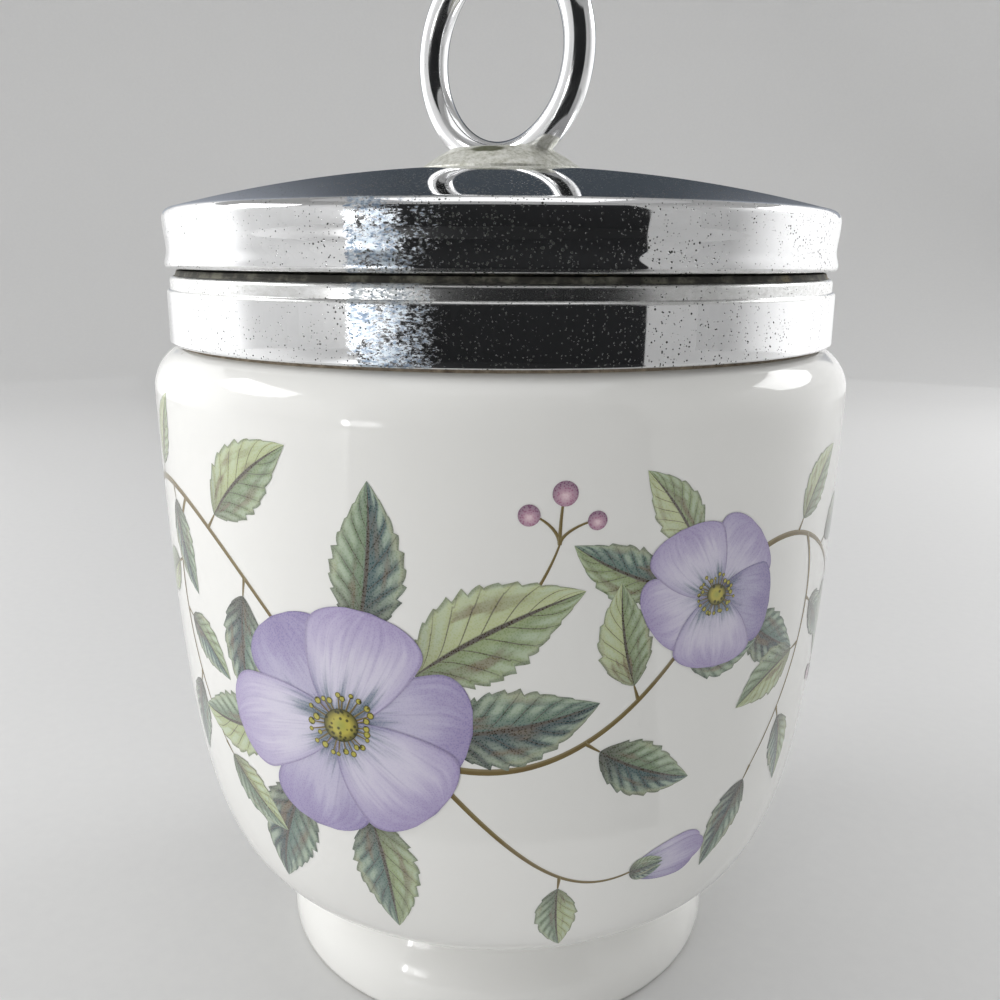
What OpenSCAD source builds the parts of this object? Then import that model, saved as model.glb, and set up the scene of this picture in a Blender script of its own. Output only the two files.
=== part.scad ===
// Egg coddler: a porcelain cup on a foot ring, with a chrome-plated screw collar cemented to its neck
// and a domed screw lid that is lifted by a round loop.
// Millimetres. +Z is up, and the origin is the centre of the foot, on the table.
// The lid is drawn screwed home. The loop stands in the XZ plane.

/* [Cup] */
// Radius of the bowl at its widest
belly_r = 38.5; // [36:0.5:46]
// Height of the ledge round the neck, and of the bottom of the collar
ledge_z = 72.25; // [64:0.25:90]
// Radius of the rounded shoulder under the ledge
shoulder_round = 4.75; // [3:0.05:5.5]
// Thickness of the porcelain at the belly
cup_wall = 3.3; // [2.8:0.1:4]
// Height of the straight side above the bowl's curve
bowl_straight = 0.9; // [0.5:0.1:5]
// Height over which the upper side of the bowl stays steep
bowl_side = 32; // [22:0.1:34]
// How far the side leans in over that height
bowl_lean = 0.75; // [0:0.05:2]
// Length of the turn of the bowl in towards the foot
bowl_turn = 10; // [7:0.5:12]
// Thickness of the porcelain under the egg
floor_t = 3.6; // [3:0.1:6]
// Thickness of the porcelain neck
neck_wall = 2.9; // [2.4:0.1:3.4]
// Height of bare porcelain rim above the collar
rim_bare = 0.9; // [0.6:0.1:1.4]

/* [Foot] */
// Largest radius of the foot ring
foot_r = 26.3; // [23:0.05:30]
// Height at which the foot meets the bowl
foot_h = 11.4; // [9:0.2:15]
// How far the foot draws in at its waist
foot_waist = 2.4; // [1:0.05:3]
// Rounding where the foot's side meets its base
foot_round = 0.95; // [0.6:0.05:2]
// Width of the flat ring that stands on the table
foot_flat = 2.3; // [1.6:0.1:3.2]
// Height of the hollow under the cup
recess_h = 5.6; // [3.6:0.2:7]

/* [Collar] */
// How far the belly stands out past the collar
belly_overhang = 1.9; // [1.2:0.1:3]
// Height of the collar's plain band
band_h = 5.5; // [4:0.1:8]
// Step in from the band to the shoulder above it
step_in = 0.35; // [0.2:0.05:0.6]
// Height of that shoulder
step_h = 1.35; // [1:0.05:2]
// Thickness of the collar's metal
collar_wall = 0.8; // [0.6:0.05:1]
// Thickness of the cement between the collar's neck and the porcelain
cement_t = 0.45; // [0.3:0.05:0.8]

/* [Thread] */
// Rise of the lid in one turn
pitch = 3; // [2.6:0.1:3.6]
// Height of the thread's ridge above the metal it stands on
thread_depth = 0.8; // [0.5:0.05:1]
// Width of the ridge at its foot
ridge_foot = 1.45; // [1.2:0.05:1.6]
// Width of the ridge at its crest
ridge_crest = 0.55; // [0.4:0.05:0.8]
// Radial clearance between each crest and the metal facing it
thread_gap = 0.25; // [0.15:0.05:0.4]
// Clearance between the sides of the two ridges when the lid is screwed home
thread_play = 0.1; // [0.06:0.02:0.3]

/* [Lid] */
// Radius of the lid less that of the collar's band
lid_overhang = 0.05; // [-0.4:0.05:0.4]
// Height of the lid's skirt below its top edge
skirt_h = 6.1; // [6:0.1:9]
// Gap between the collar's shoulder and the lid's skirt
lid_gap = 0.75; // [0.4:0.05:1.2]
// Thickness of the lid's metal
lid_wall = 0.9; // [0.7:0.05:1.2]
// Rise of the dome above the lid's top edge
dome_rise = 4.65; // [3.5:0.05:8]
// Rounding of the lid's top edge
edge_round = 1.1; // [0.5:0.05:1.3]
// How far the skirt draws in above its bottom bead
waist_in = 0.25; // [0.1:0.05:0.5]
// Height of the bead at the bottom of the skirt
bead_h = 1.9; // [1.4:0.1:2.4]
// Thickness of the threaded ring pressed into the skirt, behind its ridge
ring_wall = 1.1; // [0.9:0.05:1.4]
// Clearance between the porcelain rim and the lid seated on it
seat_gap = 0.05; // [0.02:0.01:0.2]

/* [Lifting loop] */
// Radius of the loop, to the middle of its rod
loop_r = 10.5; // [9:0.25:13]
// Thickness of the loop's rod
loop_d = 3.3; // [2.4:0.1:4]
// Depth of the flat filed on the loop's foot
loop_flat = 1.4; // [1:0.05:1.6]
// Thickness of the boss under that flat
loop_seat = 1.1; // [0.3:0.05:1.4]
// Radius of the flared boss under the loop
boss_r = 9.1; // [7.5:0.1:10]
// Radius of the boss where its flare ends
boss_top_r = 5.6; // [5:0.1:7]
// Height of the boss above the top of the dome
boss_h = 2.05; // [1.2:0.05:2.4]
// Radius of the rivet's shank
rivet_r = 2.2; // [1.6:0.1:2.6]
// Radius of the rivet's peened head
rivet_head_r = 3.9; // [3.4:0.1:4.6]
// Height of the rivet's head
rivet_head_h = 1.2; // [0.8:0.1:1.6]
// Radius of the washer under the lid
washer_r = 6.5; // [5:0.1:8]
// Thickness of the washer
washer_t = 0.8; // [0.6:0.05:1.2]
// Clearance of pieces that turn or seat on each other
fit_gap = 0.05; // [0.02:0.01:0.1]
// Half the width of the solder where it starts on the boss
solder_r = 2.8; // [2.2:0.1:3.4]
// Half its width where it ends on the loop
solder_top_r = 1.8; // [1.5:0.1:2.2]
// Height to which it climbs above the boss
solder_h = 0.2; // [0.15:0.05:0.6]

/* [Hidden] */
$fn = 96;
far = 200;              // longer than anything in the part

// Small roundings of the collar's edges
lip_round = 0.3;        // top edge
step_round = 0.5;       // shoulder above the band
band_round = 0.4;       // top of the band
hem_round = 0.25;       // bottom of the band
cement_bed = 0.2;       // how far the cement stays below the collar's top edge

// Outside of the porcelain. A pull is how far a curve keeps to its direction at one end
foot_fillet = 1.5;      // height of the fillet between the bowl and the foot
fillet_drop = 0.25;     // how far the fillet drops as it leaves the bowl
fillet_pull = 1.2;      // pull of the fillet at the foot's waist
bowl_lip = 0.3;         // how far the bowl's underside starts outside the foot
turn_rise = 1.3;        // how far the bowl's underside climbs as it turns out
waist_pull = 2.7;       // pull of the foot's side below its waist
bulge_z = 2.7;          // height at which the foot is widest
bulge_pull = 3.2;       // pull of the foot's side above that height
sole_pull = 0.85;       // pull of the rounding at the foot's base

// Hollow under the foot
hollow_edge = [1, 2];       // width and height of the foot ring's inner edge
hollow_pulls = [[0.7, 0.2], [0.9, 0.8]];
hollow_turn = 3;            // width of the turn from that edge to the hollow's top
hollow_drop = 0.3;          // how far the outside of the hollow's top lies below its middle

// Inside of the porcelain
floor_flat = 8;             // pull of the floor's curve at its middle
floor_turn = [4.2, 2.3];    // how far inside the foot's radius and above the floor the side begins
floor_turn_low = [4.6, 1.9];
floor_turn_high = [11.6, 4.8];
side_pull = 28.2;           // pull of the side below its widest place
side_top = 8.7;             // depth below the ledge at which the side draws in to the neck
mouth_rise = 1.8;           // height above the ledge at which the neck is straight
neck_pull = 4.7;            // pull of both ends of the curve between these

// The lid's skirt
skirt_pull = 1.2;       // pull of the skirt below the top edge
skirt_waist_pull = 0.9; // pull of the skirt above its waist
bead_mid = 0.5;         // height at which the bottom bead is widest
bead_hem = 0.4;         // how far the bead turns in at the bottom
bead_pull = 0.45;       // pull of the curve from the waist to the bead
bead_turn = 0.2;        // pull of the bead's turn in at the bottom

// The boss and its solder
boss_edge = 0.25;           // thickness of the boss's edge
flare_low = [0.7, -0.5];    // pull of the flare at that edge
flare_high = [1.2, -0.5];   // pull of the flare at the boss's top
solder_low = 1.4;           // how far below the boss's top the solder starts
solder_out = 0.15;          // how far it goes round the outside of the loop
solder_spread = 0.4;        // how far it spreads past that on the boss
solder_slice = 0.1;         // thickness of its top and bottom

// The thread
turn_steps = 72;        // facets in one turn
ridge_root = 0.35;      // how deep a ridge is rooted in its wall
ridge_run_out = 24;     // degrees over which a ridge rises from its wall
ridge_sunk = 0.15;      // share of its height by which a ridge's ends lie in the wall
ring_inset = 0.1;       // how far the threaded ring stays inside the lid at each end

// Radii of the closure, from the outside in
collar_r = belly_r - belly_overhang;
lid_r = collar_r + lid_overhang;
skirt_in_r = lid_r - lid_wall - waist_in / 2;
ring_in_r = skirt_in_r - ring_wall;
collar_neck_r = ring_in_r - thread_depth - thread_gap;
collar_neck_in_r = collar_neck_r - collar_wall;
neck_r = collar_neck_in_r - cement_t;
mouth_r = neck_r - neck_wall;
seat_r = neck_r - neck_wall / 2;

// Heights of the closure, from the ledge up
band_top = ledge_z + band_h;
shoulder_top = band_top + step_h;
skirt_z = shoulder_top + lid_gap;
edge_z = skirt_z + skirt_h;

// The dome is part of a sphere that passes through the lid's top edge
dome_edge_r = lid_r - edge_round;
dome_R = (dome_edge_r * dome_edge_r + dome_rise * dome_rise) / (2 * dome_rise);
apex_z = edge_z + dome_rise;
dome_c = apex_z - dome_R;
edge_c_z = dome_c + sqrt(pow(dome_R - edge_round, 2) - pow(dome_edge_r, 2));
edge_lean = atan(dome_edge_r / (edge_c_z - dome_c));
function dome_z(r) = dome_c + sqrt(dome_R * dome_R - r * r);
function under_z(r) = dome_c + sqrt(pow(dome_R - lid_wall, 2) - r * r);

// The rounded porcelain rim meets the underside of the dome
rim_r = neck_wall / 2;
rim_c_z = dome_c + sqrt(pow(dome_R - lid_wall - seat_gap - rim_r, 2) - seat_r * seat_r);
rim_z = rim_c_z + rim_r;
collar_top = rim_z - rim_bare;
floor_z = recess_h + floor_t;
belly_z = ledge_z - shoulder_round;

// The thread fills the height between the collar's shoulder and its top
ridge_half = ridge_foot / 2;
male_low = shoulder_top + step_round + ridge_half;
male_high = collar_top - lip_round - ridge_half;
male_turns = (male_high - male_low) / pitch;
ring_low = skirt_z + ring_inset;
ring_high = under_z(skirt_in_r) - ring_inset;
female_low = ring_low + ridge_half;
female_high = ring_high - ridge_half;
female_turns = (female_high - female_low) / pitch;
// The lid's ridge lies under the collar's, and draws the lid down on the rim
ridge_apart = ridge_foot - (ridge_foot - ridge_crest) * (1 + thread_gap / thread_depth) / 2 + thread_play;
female_start = 360 * (female_low - male_low + ridge_apart) / pitch;

// Heights of what hangs on the middle of the lid
loop_rod_r = loop_d / 2;
hole_r = rivet_r + fit_gap;
// Radii of the points that the top of the dome is drawn through, first those under the boss
dome_radii = concat(
    [for (i = [0:4]) hole_r + (boss_r - hole_r) * i / 4],
    [for (i = [1:12]) boss_r + (dome_edge_r - boss_r) * i / 12]
);
loop_foot_z = apex_z + loop_seat;
loop_c = loop_foot_z - loop_flat + loop_r + loop_rod_r;
boss_top = apex_z + boss_h;
washer_top = under_z(washer_r) - fit_gap;
washer_bottom = washer_top - washer_t;
rivet_seat = washer_bottom - fit_gap;

white_glaze = [0.93, 0.93, 0.9];
cement_grey = [0.7, 0.68, 0.62];
chrome = [0.78, 0.79, 0.8];
plain_steel = [0.62, 0.62, 0.6];
solder_grey = [0.66, 0.65, 0.6];

// Points on a cubic curve with end points a, d and handles b, c, leaving out a
function curve(a, b, c, d, steps = 12) =
    [for (i = [1:steps]) let (t = i / steps, s = 1 - t)
        s*s*s * a + 3*s*s*t * b + 3*s*t*t * c + t*t*t * d];

// Points on a circle about c from angle a0 to angle a1
function arc(c, r, a0, a1, steps = 6) =
    [for (i = [0:steps]) let (a = a0 + (a1 - a0) * i / steps) c + r * [cos(a), sin(a)]];

// Turns an outline of (radius, height) points about the Z axis
module turned(outline) {
    rotate_extrude() polygon(outline);
}

// Rounded shoulder, from the ledge out and down to the side
shoulder = arc([belly_r - shoulder_round, belly_z], shoulder_round, 90, 0, 12);

// Outside of the porcelain, from the top of the shoulder down to the table
function cup_outside() =
    let (
        belly = [belly_r, belly_z - bowl_straight],
        base = [foot_r + bowl_lip, foot_h],
        waist = [foot_r - foot_waist, foot_h - foot_fillet],
        sole = [foot_r - foot_round, 0],
        bulge = [foot_r, bulge_z]
    )
    concat(
        shoulder,
        [belly],
        curve(belly, belly - [bowl_lean, bowl_side], base + [bowl_turn, turn_rise], base, 28),
        curve(base, base - [foot_fillet, fillet_drop], waist + [0, fillet_pull], waist, 6),
        curve(waist, waist - [0, waist_pull], bulge + [0, bulge_pull], bulge, 10),
        curve(bulge, bulge - [0, bulge_z - sole_pull], sole + [sole_pull, 0], sole, 6)
    );

// Hollow under the foot, from the foot's flat ring in to the axis
function cup_underside() =
    let (
        flat_in = [foot_r - foot_round - foot_flat, 0],
        edge = flat_in + [-hollow_edge[0], hollow_edge[1]],
        top = [edge[0] - hollow_turn, recess_h - hollow_drop],
        pulls = [for (p = hollow_pulls) flat_in + [-p[0], p[1]]]
    )
    concat(
        [flat_in],
        curve(flat_in, pulls[0], pulls[1], edge, 5),
        curve(edge, [edge[0], recess_h], top + [hollow_turn / 2, 0], top, 7),
        [[0, recess_h]]
    );

// Inside of the porcelain, from the middle of the floor up to the mouth
function cup_inside() =
    let (
        middle = [0, floor_z],
        turn = [foot_r - floor_turn[0], floor_z + floor_turn[1]],
        side = [belly_r - cup_wall, ledge_z - side_top],
        mouth = [mouth_r, ledge_z + mouth_rise]
    )
    concat(
        [middle],
        curve(middle, middle + [floor_flat, 0], turn - floor_turn_low, turn, 8),
        curve(turn, turn + floor_turn_high, side - [0, side_pull], side, 24),
        curve(side, side + [0, neck_pull], mouth - [0, neck_pull], mouth, 10)
    );

// One casting: bowl, neck and foot ring
module cup() {
    color(white_glaze)
    turned(concat(
        cup_inside(),
        arc([seat_r, rim_c_z], rim_r, 180, 0, 12),
        [[neck_r, ledge_z]],
        cup_outside(),
        cup_underside()
    ));
}

// Inside of the collar's band and neck, from its bottom edge up
function collar_inside() = [
    [collar_r - collar_wall, ledge_z],
    [collar_r - collar_wall, band_top - step_in],
    [collar_r - collar_wall - step_in, band_top],
    [collar_r - collar_wall - step_in, shoulder_top - collar_wall],
    [collar_neck_in_r, shoulder_top - collar_wall],
    [collar_neck_in_r, collar_top]
];

// Pressed metal collar, with the plain band that shows and the threaded neck that the lid hides
module collar() {
    step_r = collar_r - step_in;
    color(chrome)
    union() {
        turned(concat(
            collar_inside(),
            arc([collar_neck_r - lip_round, collar_top - lip_round], lip_round, 90, 0, 4),
            [[collar_neck_r, shoulder_top]],
            arc([step_r - step_round, shoulder_top - step_round], step_round, 90, 0, 5),
            [[step_r, band_top]],
            arc([collar_r - band_round, band_top - band_round], band_round, 70, 0, 4),
            arc([collar_r - hem_round, ledge_z + hem_round], hem_round, 0, -90, 4)
        ));
        ridge(collar_neck_r, 1, male_low, male_turns, 0);
    }
}

// Cement that beds the collar on the shoulder and fills the room round the porcelain neck
module collar_cement() {
    top = collar_top - cement_bed;
    under = [for (p = shoulder) if (p[0] < collar_r - collar_wall) p];
    out_r = under[len(under) - 1][0];
    color(cement_grey)
    turned(concat(
        [[neck_r, ledge_z]],
        under,
        [[out_r, ledge_z]],
        [for (i = [0:4]) collar_inside()[i]],
        [[collar_neck_in_r, top], [neck_r, top]]
    ));
}

// Section of a ridge at one step: two points in the wall and two on the crest.
// out is 1 for a ridge that stands out from its wall and -1 for one that stands in
function ridge_section(wall_r, out, z, rise) =
    let (
        root_r = wall_r - out * ridge_root,
        crest_r = wall_r + out * thread_depth * rise,
        slope = (ridge_foot - ridge_crest) / thread_depth,
        root_half = (ridge_foot + slope * ridge_root) / 2,
        crest_half = ridge_crest / 2
    )
    [[root_r, z - out * root_half], [crest_r, z - out * crest_half],
     [crest_r, z + out * crest_half], [root_r, z + out * root_half]];

// Helical ridge, right-handed, that rises from its wall and sinks back into it at the ends
module ridge(wall_r, out, z0, turns, start) {
    steps = ceil(turns * turn_steps);
    step_a = 360 * turns / steps;
    run_out = ridge_run_out / step_a;
    points = [for (i = [0:steps])
        let (
            a = start + step_a * i,
            rise = min(1, i / run_out - ridge_sunk, (steps - i) / run_out - ridge_sunk)
        )
        for (p = ridge_section(wall_r, out, z0 + pitch * turns * i / steps, rise))
            [p[0] * cos(a), p[0] * sin(a), p[1]]];
    faces = concat(
        [[2, 1, 0], [3, 2, 0]],
        [for (i = [0:steps - 1], k = [0:3]) let (a = 4*i + k, b = 4*i + (k + 1) % 4)
            each [[b + 4, a + 4, a], [b, b + 4, a]]],
        [[4*steps, 4*steps + 1, 4*steps + 2], [4*steps, 4*steps + 2, 4*steps + 3]]
    );
    polyhedron(points, faces);
}

// Dome, rounded top edge and beaded skirt of the lid
module lid_cap() {
    edge = [lid_r, edge_c_z];
    waist = [lid_r - waist_in, skirt_z + bead_h];
    bead = [lid_r, skirt_z + bead_mid];
    hem = [bead[0] - bead_hem, skirt_z];
    color(chrome)
    turned(concat(
        [for (r = dome_radii) [r, dome_z(r)]],
        arc([dome_edge_r, edge_c_z], edge_round, 90 - edge_lean, 0, 7),
        curve(edge, edge - [0, skirt_pull], waist + [0, skirt_waist_pull], waist, 8),
        curve(waist, waist - [0, bead_pull], bead + [0, bead_pull], bead, 6),
        curve(bead, bead - [0, bead_hem], hem + [bead_turn, 0], hem, 5),
        [[skirt_in_r, skirt_z], [skirt_in_r, under_z(skirt_in_r)]],
        [for (i = [15:-1:0]) let (r = hole_r + (skirt_in_r - hole_r) * i / 16) [r, under_z(r)]]
    ));
}

// Threaded ring, pressed into the skirt
module lid_thread_ring() {
    color(plain_steel)
    union() {
        turned([[ring_in_r, ring_low], [skirt_in_r, ring_low], [skirt_in_r, ring_high], [ring_in_r, ring_high]]);
        ridge(ring_in_r, -1, female_low, female_turns, female_start);
    }
}

// The loop's whole rod, before its foot is filed flat
module loop_rod() {
    translate([0, 0, loop_c]) rotate([90, 0, 0]) rotate_extrude() translate([loop_r, 0]) circle(loop_rod_r);
}

// Round loop that the lid is lifted and turned by
module lifting_loop() {
    color(chrome)
    difference() {
        loop_rod();
        translate([-far / 2, -far / 2, loop_foot_z - far]) cube(far);
    }
}

// Outline of the flared boss, without its hole
function boss_outline() =
    let (rim = [boss_r, dome_z(boss_r) + boss_edge], top = [boss_top_r, boss_top])
    concat(
        [[0, dome_z(hole_r)]],
        [for (i = [0:4]) [dome_radii[i], dome_z(dome_radii[i])]],
        curve(rim, rim - flare_low, top + flare_high, top, 8),
        [[0, boss_top]]
    );

// Flared boss that carries the loop
module loop_boss() {
    color(chrome)
    difference() {
        turned(boss_outline());
        cylinder(h = loop_foot_z, r = rivet_r);
        intersection() {
            loop_rod();
            translate([-far / 2, -far / 2, loop_foot_z]) cube(far);
        }
    }
}

// Solder that fills the corners between the loop and its boss
module loop_solder() {
    high = boss_top + solder_h;
    reach = sqrt(pow(loop_r + loop_rod_r, 2) - pow(loop_c - high, 2)) + solder_out;
    color(solder_grey)
    difference() {
        hull() {
            for (side = [-1, 1]) {
                translate([side * (reach + solder_spread - solder_r), 0, boss_top - solder_low])
                    cylinder(h = solder_slice, r = solder_r, $fn = 36);
                translate([side * (reach - solder_top_r), 0, high])
                    cylinder(h = solder_slice, r = solder_top_r, $fn = 36);
            }
        }
        turned(boss_outline());
        loop_rod();
    }
}

// Rivet through the boss, the lid and the washer, with its end peened over
module loop_rivet() {
    color(plain_steel)
    turned(concat(
        [[0, loop_foot_z], [rivet_r, loop_foot_z], [rivet_r, rivet_seat], [rivet_head_r, rivet_seat]],
        curve([rivet_head_r, rivet_seat], [rivet_head_r, rivet_seat - rivet_head_h * 0.7],
              [rivet_head_r * 0.6, rivet_seat - rivet_head_h], [0, rivet_seat - rivet_head_h], 8)
    ));
}

// Washer under the lid
module rivet_washer() {
    color(plain_steel)
    translate([0, 0, washer_bottom])
    difference() {
        cylinder(h = washer_t, r = washer_r);
        translate([0, 0, -washer_t]) cylinder(h = 3 * washer_t, r = hole_r);
    }
}

cup();
collar_cement();
collar();
lid_cap();
lid_thread_ring();
loop_boss();
lifting_loop();
loop_solder();
loop_rivet();
rivet_washer();
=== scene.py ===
"""Egg coddler: glazed porcelain cup with a printed garland, chrome-plated collar and screw lid with a loop.

Outlines are in millimetres, as (radius, height) points, and become metres where a mesh is made.
"""

import math

import bmesh
import bpy
import numpy as np
from mathutils import Euler, Matrix, Vector


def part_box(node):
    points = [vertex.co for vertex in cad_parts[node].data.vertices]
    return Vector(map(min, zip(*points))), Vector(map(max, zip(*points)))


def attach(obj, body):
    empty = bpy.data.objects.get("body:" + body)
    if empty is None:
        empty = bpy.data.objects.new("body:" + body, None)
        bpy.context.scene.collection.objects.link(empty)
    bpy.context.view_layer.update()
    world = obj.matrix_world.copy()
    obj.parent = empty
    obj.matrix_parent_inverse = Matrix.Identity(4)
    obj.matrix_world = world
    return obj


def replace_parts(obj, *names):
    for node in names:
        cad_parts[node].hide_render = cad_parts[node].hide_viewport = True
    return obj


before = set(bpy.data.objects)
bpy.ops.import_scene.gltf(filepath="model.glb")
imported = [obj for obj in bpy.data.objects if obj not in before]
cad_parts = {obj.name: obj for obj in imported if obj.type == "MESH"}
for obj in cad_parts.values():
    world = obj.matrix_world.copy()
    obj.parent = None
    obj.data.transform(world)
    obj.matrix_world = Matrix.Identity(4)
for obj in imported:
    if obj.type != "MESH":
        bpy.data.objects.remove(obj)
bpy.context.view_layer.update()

MM = 0.001
NEVER_ZERO = 1e-6

# Sizes of the part, as its solids have them
BELLY_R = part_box("cup")[1].x / MM
LEDGE_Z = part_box("collar")[0].z / MM
SHOULDER_ROUND = 4.75
CUP_WALL = 3.3
BOWL_STRAIGHT = 0.9
BOWL_SIDE = 32
BOWL_LEAN = 0.75
BOWL_TURN = 10
FLOOR_T = 3.6
NECK_WALL = 2.9
RIM_BARE = 0.9
FOOT_R = 26.3
FOOT_H = 11.4
FOOT_WAIST = 2.4
FOOT_ROUND = 0.95
FOOT_FLAT = 2.3
FOOT_FILLET = 1.5
FILLET_DROP = 0.25
FILLET_PULL = 1.2
RECESS_H = 5.6
BOWL_LIP = 0.3
TURN_RISE = 1.3
WAIST_PULL = 2.7
BULGE_Z = 2.7
BULGE_PULL = 3.2
SOLE_PULL = 0.85
HOLLOW_EDGE = (1, 2)
HOLLOW_PULLS = ((0.7, 0.2), (0.9, 0.8))
HOLLOW_TURN = 3
HOLLOW_DROP = 0.3
FLOOR_FLAT = 8
FLOOR_TURN = (4.2, 2.3)
FLOOR_TURN_LOW = (4.6, 1.9)
FLOOR_TURN_HIGH = (11.6, 4.8)
SIDE_PULL = 28.2
SIDE_TOP = 8.7
MOUTH_RISE = 1.8
NECK_PULL = 4.7

COLLAR_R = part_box("collar")[1].x / MM
BAND_H = 5.5
STEP_IN = 0.35
STEP_H = 1.35
GRIME_H = 0.62
GRIME_WIDTH = 0.95
GRIME_HEAP = ((0, 0), (0.15, 0.9), (0.4, 1), (0.75, 0.85))
COLLAR_WALL = 0.8
CEMENT_T = 0.45
LIP_ROUND = 0.3
STEP_ROUND = 0.5
BAND_ROUND = 0.4
HEM_ROUND = 0.25

PITCH = 3
THREAD_DEPTH = 0.8
THREAD_GAP = 0.25
RIDGE_FOOT = 1.45
RIDGE_CREST = 0.55
RIDGE_ROOT = 0.35
RIDGE_RUN_OUT = math.radians(24)
RIDGE_SUNK = 0.15

LID_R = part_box("lid_cap")[1].x / MM
SKIRT_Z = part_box("lid_cap")[0].z / MM
SKIRT_H = 6.1
LID_WALL = 0.9
DOME_RISE = 4.65
EDGE_ROUND = 1.1
WAIST_IN = 0.25
BEAD_H = 1.9
BEAD_MID = 0.5
BEAD_HEM = 0.4
BEAD_PULL = 0.45
BEAD_TURN = 0.2
SKIRT_PULL = 1.2
SKIRT_WAIST_PULL = 0.9
RING_WALL = 1.1
SEAT_GAP = 0.05

LOOP_R = 10.5
LOOP_ROD_R = 1.65
LOOP_SEAT = 1.1
LOOP_FLAT = 1.4
BOSS_R = 9.1
BOSS_TOP_R = 5.6
BOSS_H = 2.05
BOSS_EDGE = 0.25
BOSS_STEPS = 12
FLARE_LOW = (0.7, -0.5)
FLARE_HIGH = (1.2, -0.5)
RIVET_R = 2.2
FIT_GAP = 0.05
SOLDER_H = 0.3
SOLDER_REACH = 0.9
SOLDER_EDGE = 0.5
SOLDER_RIPPLES = (0.06, 0.05)
SOLDER_SINK = 0.05
SOLDER_DEPTH = 0.3

BAND_TOP = LEDGE_Z + BAND_H
SHOULDER_TOP = BAND_TOP + STEP_H
EDGE_Z = SKIRT_Z + SKIRT_H
SKIRT_IN_R = LID_R - LID_WALL - WAIST_IN / 2
RING_IN_R = SKIRT_IN_R - RING_WALL
COLLAR_NECK_R = RING_IN_R - THREAD_DEPTH - THREAD_GAP
COLLAR_NECK_IN_R = COLLAR_NECK_R - COLLAR_WALL
NECK_R = COLLAR_NECK_IN_R - CEMENT_T
MOUTH_R = NECK_R - NECK_WALL
SEAT_R = NECK_R - NECK_WALL / 2
RIM_R = NECK_WALL / 2
DOME_EDGE_R = LID_R - EDGE_ROUND
DOME_R = (DOME_EDGE_R**2 + DOME_RISE**2) / (2 * DOME_RISE)
APEX_Z = EDGE_Z + DOME_RISE
DOME_C = APEX_Z - DOME_R
EDGE_C_Z = DOME_C + math.sqrt((DOME_R - EDGE_ROUND) ** 2 - DOME_EDGE_R**2)
EDGE_LEAN = math.degrees(math.atan(DOME_EDGE_R / (EDGE_C_Z - DOME_C)))
RIM_C_Z = DOME_C + math.sqrt((DOME_R - LID_WALL - SEAT_GAP - RIM_R) ** 2 - SEAT_R**2)
COLLAR_TOP = RIM_C_Z + RIM_R - RIM_BARE
FLOOR_Z = RECESS_H + FLOOR_T
BELLY_Z = LEDGE_Z - SHOULDER_ROUND
LOOP_FOOT_Z = APEX_Z + LOOP_SEAT
LOOP_C = LOOP_FOOT_Z - LOOP_FLAT + LOOP_R + LOOP_ROD_R
BOSS_TOP = APEX_Z + BOSS_H

# The photograph's camera, as it was fitted to the photograph
CAMERA_AZIMUTH = math.radians(41)
CAMERA_OUT = 117.6
CAMERA_HEIGHT = 81.3
CAMERA_PITCH = math.radians(13.75)
CAMERA_ROLL = math.radians(0.3)
CAMERA_LENS = 36
CAMERA_SENSOR = 36
CAMERA_NEAR = 10


# ---- outlines


def xy(*p):
    return np.array(p, float)


def cubic(a, b, c, d, t):
    """Place at t on a cubic curve with end points a, d and handles b, c."""
    s = 1 - t
    return s**3 * a + 3 * s * s * t * b + 3 * s * t * t * c + t**3 * d


def curve(a, b, c, d, steps=12):
    """Points on that curve, leaving out a."""
    return list(cubic(a, b, c, d, np.linspace(0, 1, steps + 1)[1:, None]))


def arc(centre, radius, start, end, steps=10):
    """Points on a circle about centre, from one angle to another, in degrees."""
    t = np.radians(np.linspace(start, end, steps + 1))
    return list(xy(*centre) + radius * np.stack([np.cos(t), np.sin(t)], 1))


def at_azimuth(azimuth, out, height):
    """A place in metres. Azimuth 0 faces -Y and grows towards +X."""
    return Vector((math.sin(azimuth) * out, -math.cos(azimuth) * out, height)) * MM


def from_camera(degrees):
    """The azimuth that lies some degrees round from the camera's."""
    return CAMERA_AZIMUTH + math.radians(degrees)


def dome_z(r):
    """Height of the dome's outside at a radius."""
    return DOME_C + math.sqrt(DOME_R**2 - r * r)


def under_z(r):
    """Height of the dome's underside at a radius."""
    return DOME_C + math.sqrt((DOME_R - LID_WALL) ** 2 - r * r)


def cup_outside():
    """Outside of the porcelain, from the ledge down to the table."""
    belly = xy(BELLY_R, BELLY_Z - BOWL_STRAIGHT)
    base = xy(FOOT_R + BOWL_LIP, FOOT_H)
    waist = xy(FOOT_R - FOOT_WAIST, FOOT_H - FOOT_FILLET)
    bulge = xy(FOOT_R, BULGE_Z)
    sole = xy(FOOT_R - FOOT_ROUND, 0)
    return (
        arc((BELLY_R - SHOULDER_ROUND, BELLY_Z), SHOULDER_ROUND, 90, 0, 18)
        + [belly]
        + curve(belly, belly - xy(BOWL_LEAN, BOWL_SIDE), base + xy(BOWL_TURN, TURN_RISE), base, 72)
        + curve(base, base - xy(FOOT_FILLET, FILLET_DROP), waist + xy(0, FILLET_PULL), waist, 10)
        + curve(waist, waist - xy(0, WAIST_PULL), bulge + xy(0, BULGE_PULL), bulge, 16)
        + curve(bulge, bulge - xy(0, BULGE_Z - SOLE_PULL), sole + xy(SOLE_PULL, 0), sole, 10)
    )


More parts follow.
